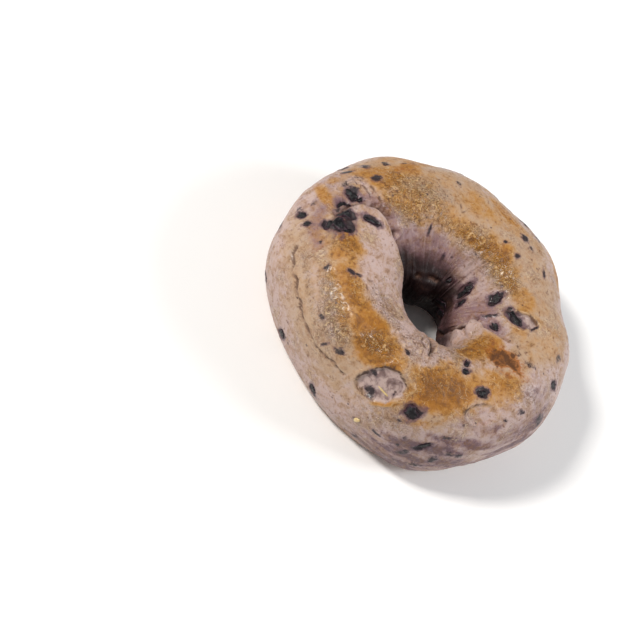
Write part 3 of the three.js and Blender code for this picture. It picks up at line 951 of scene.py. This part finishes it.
# %% Crust colours
LAYERS = [
    ("warm", "patches", 1.6, 0.05, 0.95, 1.0, "#B1957C"),
    ("cool_clouds", "patches", 1.2, 0.40, 0.70, 0.50, "#A3877B"),
    ("light_grain", "clouds", 0.7, 0.55, 0.68, 0.45, "#D6BE9E"),
    ("dark_grain", "clouds", 1.0, 0.57, 0.68, 0.42, "#755848"),
    ("mauve", "grain", 1.0, 0.10, 0.95, 0.85, "#7F6068"),
    # The marbling row is juice marbling and painted shade on the low near side.
    ("marbling", "grain", 2.4, 0.05, 1.00, 0.85, "#563A46"),
    ("streaks", "grain", 0.8, 0.08, 0.50, 0.40, "#B89F9B"),
    ("golden", "patches", 1.8, -0.20, 1.00, 0.97, "#B78234"),
    ("golden", "grain", 2.0, 0.25, 1.15, 0.88, "#9A6117"),
    ("golden", "patches", 3.5, 0.70, 1.60, 0.65, "#744409"),
    ("pale_hairs", "clouds", 4.0, 0.75, 1.35, 0.50, "#DCC6A2"),
    ("dark_hairs", "clouds", 4.0, 0.85, 1.45, 0.70, "#5C3E2B"),
    # The crests row is painted highlight on the wrinkles, and the furrows row is painted shade in them.
    ("crests", "grain", 1.6, 0.20, 0.90, 0.45, "#D9B987"),
    ("furrows", "grain", 1.6, 0.00, 0.70, 0.75, "#54371A"),
    # Of these two rows the first sprinkles brown specks in the wrinkled skin, and the second pale specks that
    # are painted glints.
    ("wrinkled", "pores", -6.0, 1.50, 2.20, 0.55, "#4E331C"),
    ("wrinkled", "pores", 6.0, 1.60, 2.20, 0.65, "#E8D0A4"),
    ("scorched", "grain", 2.0, 0.05, 0.80, 0.90, "#9A5A18"),
    ("scorched", "patches", 3.0, 0.55, 1.25, 0.90, "#4C2B0D"),
    # The pale lip is partly painted highlight.
    ("lip", "grain", 1.4, 0.30, 0.95, 0.45, "#D3B083"),
    ("blister_floor", "grain", 1.0, 0.10, 0.70, 0.90, "#B7A09A"),
    ("blister_floor", "patches", 3.0, 0.80, 1.40, 0.75, "#6F5657"),
    # The dark rim is scorch, with painted shadow on its upper side.
    ("rim", "patches", 2.4, 0.20, 0.85, 0.90, "#3E2620"),
    ("juice", "grain", 1.6, 0.15, 0.90, 0.75, "#614653"),
    ("stain", "grain", 1.8, 0.10, 0.70, 0.95, "#1C1119"),
    # The two hole rows are painted shade in the deep hole, with some juice stain.
    ("hole_shade_and_stain", "grain", 0.6, 0.02, 0.60, 0.85, "#5A3A3D"),
    ("hole_shade_and_stain", "patches", 0.8, 0.25, 0.80, 0.99, "#1A0709"),
    # The groove row is painted shade along the creases.
    ("groove", "patches", 1.2, -0.05, 0.60, 0.80, "#5A3F33"),
    ("specks", "pores", 0.06, -0.02, 0.08, 0.80, "#4D3836"),
]
skin = colour("#B9A19B")
for share, pattern, break_up, low, high, strength, tone in LAYERS:
    ragged = add(crust_skin, "ShaderNodeMath", {"operation": "MULTIPLY_ADD"}, {
        0: patterns[pattern], 1: break_up, 2: shares[share]}).outputs[0]
    amount = add(crust_skin, "ShaderNodeMapRange", {"interpolation_type": "SMOOTHSTEP"}, {
        "Value": ragged, "From Min": low + break_up / 2, "From Max": high + break_up / 2,
        "To Max": strength}).outputs["Result"]
    skin = add(crust_skin, "ShaderNodeMix", {"data_type": "RGBA"}, {
        0: amount, 6: skin, 7: colour(tone)}).outputs[2]

# %% Crust finish
bumped = None
for height, reach_mm, strength in [
    (patterns["patches"], 0.35, 0.6),
    (patterns["grain"], 0.35, 0.6),
    (patterns["pores"], 0.15, 0.6),
    (shares["crests"], 0.35, 1.0),
]:
    inputs = {"Height": height, "Distance": reach_mm * MM, "Strength": strength}
    if bumped:
        inputs["Normal"] = bumped
    bumped = add(crust_skin, "ShaderNodeBump", {}, inputs).outputs[0]
dullness = add(crust_skin, "ShaderNodeMath", {"operation": "MULTIPLY_ADD"}, {
    0: shares["wrinkled"], 1: -0.35, 2: patterns["grain"]}).outputs[0]
gloss = add(crust_skin, "ShaderNodeMapRange", {}, {
    "Value": dullness, "From Min": 0.05, "From Max": 0.60, "To Min": 0.20, "To Max": 0.62}).outputs["Result"]
crust_shader = add(crust_skin, "ShaderNodeBsdfPrincipled", {}, {
    "Base Color": skin, "Roughness": gloss, "IOR": 1.42, "Normal": bumped, "Coat Weight": 0.12,
    "Coat Roughness": 0.16, "Subsurface Weight": 0.05, "Subsurface Radius": (1.0, 0.5, 0.3),
    "Subsurface Scale": 1.2 * MM})
add(crust_skin, "ShaderNodeOutputMaterial", {}, {"Surface": crust_shader.outputs[0]})
print(crust_skin.name, "has", len(crust_skin.node_tree.nodes), "nodes")

# %% Crust piece
crust_faces = closed_grid_faces(RING_STEPS, DOUGH_STEPS)
crust_piece = make_piece("crust", crust_points + to_solid, crust_faces, crust_skin, crust_shares)
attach(crust_piece, "root")
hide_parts("bagel")

# %% [markdown]
# ## Baked berries
#
# A berry that reaches the skin bursts, dries and shrinks to a crumpled lump of skin and jelly. It is a
# flattened ball bent onto the crust: its length and width are turned into steps of the two angles, so it lies
# on the curve of the dough, and its height is added along the normal. Its outline and its top are uneven.

# %% Lump surfaces
LUMP_SINK = 0.5


def lumps_on_crust(spots, steps_round, rings, seed, outline, crumpling, spread=1.0):
    """Closed lumps, one for each oval, as points of shape (lumps, points) and each point's share of the way
    to the edge. Round the lump and over it run two angles; length and width are the half sizes times the
    sine of the second, and the height is its cosine to a power below 1, times how proud the lump stands."""
    size = {key: np.array([spot[key] for spot in spots])[:, None] for key in
            ("a", "b", "turn", "size", "half_length", "half_width")}
    one_turn = np.arange(steps_round) / steps_round * 2 * np.pi
    ring_heights = np.arange(1, rings + 1) / (rings + 1) * np.pi
    u = np.concatenate([[0], np.tile(one_turn, rings), [0]])[None]
    v = np.concatenate([[0], np.repeat(ring_heights, steps_round), [np.pi]])[None]
    phase = np.random.default_rng(seed).random((5, len(spots), 1)) * 2 * np.pi
    ragged = 1 + outline * (0.45 * np.sin(2 * u + phase[0]) + 0.35 * np.sin(3 * u + phase[1])
                            + 0.30 * np.sin(5 * u + phase[2]) + 0.18 * np.sin(8 * u + phase[3]))
    lengthwise = spread * size["half_length"] * ragged * np.sin(v) * np.cos(u)
    widthwise = spread * size["half_width"] * ragged * np.sin(v) * np.sin(u)
    c, s = np.cos(size["turn"]), np.sin(size["turn"])
    here = dough_surface(size["a"], size["b"])
    further_along = dough_surface(size["a"] + SMALL_ANGLE, size["b"])
    further_around = dough_surface(size["a"], size["b"] + SMALL_ANGLE)
    mm_along = np.linalg.norm(further_along - here, axis=-1) / SMALL_ANGLE
    mm_around = np.linalg.norm(further_around - here, axis=-1) / SMALL_ANGLE
    a = size["a"] + (lengthwise * c - widthwise * s) / mm_along
    b = size["b"] + (lengthwise * s + widthwise * c) / mm_around
    points, out, _ = crust(a, b)
    top = np.clip(np.cos(v), 0, None) ** 0.6
    uneven = 1 + crumpling * (layered_noise(points, 2.6, seed + 1, 2) - 0.5)
    height = top * (0.7 * size["size"] + 0.2) * uneven + LUMP_SINK * np.clip(np.cos(v), None, 0) - 0.05
    return points + out * height[..., None], np.broadcast_to(np.sin(v), a.shape)


def lump_faces(count, steps_round, rings):
    """Triangles of `count` lumps: a fan at each pole and two triangles for each cell between two rings."""
    i = np.arange(steps_round)
    after = (i + 1) % steps_round
    row = 1 + np.arange(rings - 1)[:, None] * steps_round
    upper, upper_next = row + i, row + after
    lower, lower_next = upper + steps_round, upper_next + steps_round
    last_row, pole = 1 + (rings - 1) * steps_round, 1 + rings * steps_round
    faces = np.concatenate([
        np.stack([0 * i, 1 + i, 1 + after], -1),
        np.stack([upper, lower, upper_next], -1).reshape(-1, 3),
        np.stack([upper_next, lower, lower_next], -1).reshape(-1, 3),
        np.stack([0 * i + pole, last_row + after, last_row + i], -1),
    ])
    starts = np.arange(count)[:, None, None] * (pole + 1)
    return (faces[None] + starts).reshape(-1, 3)


# %% [markdown]
# Berry skin is nearly black, wet with jelly and plum where the light comes through its torn edge, and
# grey-green in patches, partly dried dusty skin and partly painted sheen. Its bump is as coarse as the
# creases of a raisin.

# %% Berry material
berry_skin = empty_material("dried_berry_skin")
berry_place = add(berry_skin, "ShaderNodeTexCoord", {}, {}).outputs["Object"]
edge = add(berry_skin, "ShaderNodeAttribute", {"attribute_name": "edge"}, {}).outputs["Fac"]
berry_patches = add(berry_skin, "ShaderNodeTexNoise", {}, {
    "Vector": berry_place, "Scale": per_mm(1.8), "Detail": 4.0, "Roughness": 0.65}).outputs["Fac"]
berry_creases = add(berry_skin, "ShaderNodeTexNoise", {}, {
    "Vector": berry_place, "Scale": per_mm(0.6), "Detail": 4.0, "Roughness": 0.7}).outputs["Fac"]
# Grey-green patches: dried dusty skin and painted sheen.
dusty_and_sheen = add(berry_skin, "ShaderNodeMapRange", {"interpolation_type": "SMOOTHSTEP"}, {
    "Value": berry_patches, "From Min": 0.52, "From Max": 0.66, "To Max": 0.7}).outputs["Result"]
torn_edge = add(berry_skin, "ShaderNodeMath", {"operation": "MULTIPLY_ADD"}, {
    0: berry_patches, 1: 1.6, 2: edge}).outputs[0]
plum = add(berry_skin, "ShaderNodeMapRange", {"interpolation_type": "SMOOTHSTEP"}, {
    "Value": torn_edge, "From Min": 1.50, "From Max": 1.85, "To Max": 0.85}).outputs["Result"]
berry_colour = add(berry_skin, "ShaderNodeMix", {"data_type": "RGBA"}, {
    0: dusty_and_sheen, 6: colour("#0E090D"), 7: colour("#363B3C")}).outputs[2]
berry_colour = add(berry_skin, "ShaderNodeMix", {"data_type": "RGBA"}, {
    0: plum, 6: berry_colour, 7: colour("#3E2230")}).outputs[2]
berry_bump = add(berry_skin, "ShaderNodeBump", {}, {
    "Height": berry_creases, "Distance": 0.3 * MM, "Strength": 0.8}).outputs[0]
berry_shader = add(berry_skin, "ShaderNodeBsdfPrincipled", {}, {
    "Base Color": berry_colour, "Roughness": 0.38, "IOR": 1.38, "Normal": berry_bump})
add(berry_skin, "ShaderNodeOutputMaterial", {}, {"Surface": berry_shader.outputs[0]})
print(berry_skin.name, "has", len(berry_skin.node_tree.nodes), "nodes")

# %% Berry piece
BERRY_ROUND, BERRY_RINGS = 32, 13
berry_points, berry_edges = lumps_on_crust(BERRIES, BERRY_ROUND, BERRY_RINGS, 91, 0.44, 1.0, spread=0.82)
berries = make_piece("berries", berry_points.reshape(-1, 3) + to_solid,
                     lump_faces(len(BERRIES), BERRY_ROUND, BERRY_RINGS), berry_skin, {"edge": berry_edges})
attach(berries, "root")

# %% [markdown]
# ## Corn grain
#
# One yellow grain of corn meal is baked into the near side, in a small dark patch, and a thin fibre lies on
# the floor of the big blister. Both are small lumps with a smooth, slightly see-through shine.

# %% Grain
GRAINS = [oval(282, -3, 1.3, 0.75, 60, 0.6), oval(282, 39, 2.2, 0.4, 0, 0.1)]
grain_skin = empty_material("toasted_corn_grain")
grain_place = add(grain_skin, "ShaderNodeTexCoord", {}, {}).outputs["Object"]
grain_clouds = add(grain_skin, "ShaderNodeTexNoise", {}, {
    "Vector": grain_place, "Scale": per_mm(0.8), "Detail": 3.0}).outputs["Fac"]
grain_colour = add(grain_skin, "ShaderNodeMix", {"data_type": "RGBA"}, {
    0: grain_clouds, 6: colour("#BE9A58"), 7: colour("#DECB9C")}).outputs[2]
grain_shader = add(grain_skin, "ShaderNodeBsdfPrincipled", {}, {
    "Base Color": grain_colour, "Roughness": 0.35, "IOR": 1.45, "Subsurface Weight": 0.1,
    "Subsurface Scale": 0.5 * MM})
add(grain_skin, "ShaderNodeOutputMaterial", {}, {"Surface": grain_shader.outputs[0]})

GRAIN_ROUND, GRAIN_RINGS = 20, 9
grain_points, _ = lumps_on_crust(GRAINS, GRAIN_ROUND, GRAIN_RINGS, 97, 0.12, 0.2)
grains = make_piece("corn_grains", grain_points.reshape(-1, 3) + to_solid,
                    lump_faces(len(GRAINS), GRAIN_ROUND, GRAIN_RINGS), grain_skin)
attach(grains, "root")

# %% [markdown]
# ## Floor and light
#
# The bagel is shown on a plain pale floor in soft studio light. The key light stands to the left and above,
# where the gloss on the left shoulder of the ring puts it, and is small enough to leave glints on the
# wrinkles. A larger fill from the far right keeps the hole and the far arm from going black, and the world
# gives an even pale light all round, which keeps the shadows soft. Each row is a name, the direction towards
# the light, its distance and size in mm, its watts and its tint.

# %% Stage
bpy.context.scene.view_settings.view_transform = "Standard"
FLOOR_HALF_MM = 1500.0

floor_finish = empty_material("matt_white_paper")
floor_shader = add(floor_finish, "ShaderNodeBsdfPrincipled", {}, {
    "Base Color": colour("#F9F9F9"), "Roughness": 0.9})
add(floor_finish, "ShaderNodeOutputMaterial", {}, {"Surface": floor_shader.outputs[0]})
floor_corners = FLOOR_HALF_MM * np.array([[-1, -1, 0], [1, -1, 0], [1, 1, 0], [-1, 1, 0]])
floor = make_piece("floor", floor_corners, np.array([[0, 1, 2, 3]]), floor_finish)

# %% Lights
LIGHTS = [
    ("key_light", (-0.56, -0.34, 0.76), 900, 160, 6.9, "#FFFBF5"),
    ("fill_light", (0.72, 0.42, 0.55), 1100, 400, 7.4, "#FFFFFF"),
]
for name, towards, distance_mm, size_mm, watts, tint in LIGHTS:
    lamp = bpy.data.lights.new(name, "AREA")
    lamp.shape = "SQUARE"
    lamp.size = size_mm * MM
    lamp.energy = watts
    lamp.color = colour(tint)[:3]
    light = bpy.data.objects.new(name, lamp)
    back = Vector(towards).normalized()
    facing = back.to_track_quat("Z", "Y").to_matrix().to_4x4()
    light.matrix_world = Matrix.Translation(BAGEL_MIDDLE + back * distance_mm * MM) @ facing
    bpy.context.scene.collection.objects.link(light)
    print(name, watts, "W at", distance_mm, "mm")

# %% World
WORLD_STRENGTH = 0.34

world = bpy.data.worlds.new("studio")
world.use_nodes = True
background = world.node_tree.nodes["Background"]
background.inputs["Color"].default_value = colour("#F2F4F7")
background.inputs["Strength"].default_value = WORLD_STRENGTH
bpy.context.scene.world = world
